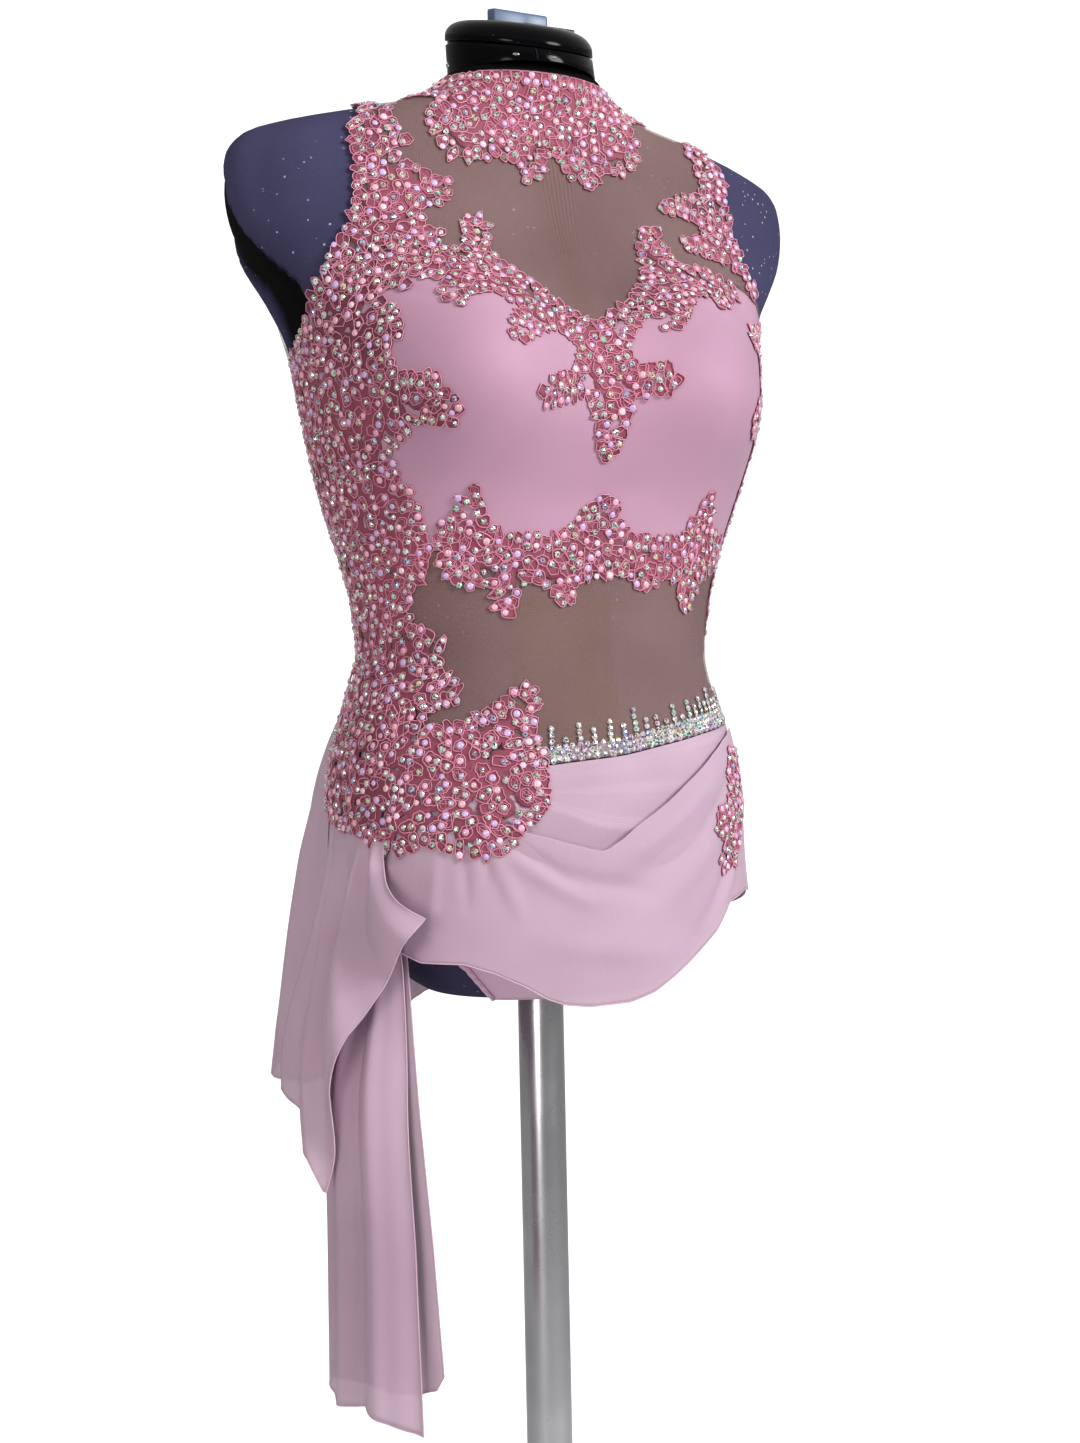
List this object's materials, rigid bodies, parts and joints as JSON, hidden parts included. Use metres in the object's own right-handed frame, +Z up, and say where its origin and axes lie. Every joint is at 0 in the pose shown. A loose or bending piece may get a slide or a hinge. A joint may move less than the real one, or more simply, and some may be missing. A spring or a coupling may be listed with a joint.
{
  "type": "lyrical dance dress on a dress form",
  "caption": "High-neck lyrical dance dress with sheer yoke and midriff, lace appliques, cowl-draped hip skirt and side cascade, worn by a limbless dress form on a pole and round base.",
  "frame": {"origin": "centre of the base's flat underside, on the floor and on the pole's axis", "axes": "+Z up along the pole, -Y towards the dress's front, +X towards the wearer's left"},
  "size_m": [0.4236, 0.37, 1.5362],
  "materials": {
    "taupe_mesh": "sheer stretch mesh, taupe over the dark form",
    "rose_satin": "dusty rose stretch cloth with a soft satin sheen",
    "pink_chiffon": "sheer matt stretch chiffon, pink-lilac",
    "pink_binding": "stretch cloth with stitched elastic binding",
    "corded_lace": "corded lace with stones, coral pink",
    "crystal_trim": "close-set faceted stones, silver with coloured glints",
    "violet_knit": "dark violet-grey knit cover with pale lint",
    "gloss_black": "glossy black moulding",
    "blue_grey_knob": "blue-grey satin moulding",
    "satin_steel": "satin steel tube",
    "black_paint": "black powder coat"
  },
  "bodies": {
    "root": {"form_torso": "violet_knit", "form_neck_ring": "gloss_black", "form_neck_lid": "gloss_black", "form_knob": "blue_grey_knob", "form_pole": "satin_steel", "form_base": "black_paint", "collar": "taupe_mesh", "yoke_front": "taupe_mesh", "bust_panel": "rose_satin", "midriff_front": "taupe_mesh", "back_bodice": "taupe_mesh", "brief_front": "pink_binding", "brief_back": "pink_binding", "gusset": "pink_binding", "binding_right_front": "pink_binding", "binding_right_back": "pink_binding", "binding_left_front": "pink_binding", "binding_left_back": "pink_binding", "skirt_front_drape": "pink_chiffon", "skirt_back": "pink_chiffon", "cascade_flap": "pink_chiffon", "cascade_tail": "pink_chiffon", "lace_collar": "corded_lace", "lace_neckline": "corded_lace", "lace_shoulder_right": "corded_lace", "lace_shoulder_left": "corded_lace", "lace_underbust": "corded_lace", "lace_side_right": "corded_lace", "lace_side_left": "corded_lace", "lace_hip_left": "corded_lace", "waist_trim": "crystal_trim"}
  },
  "joints": []
}
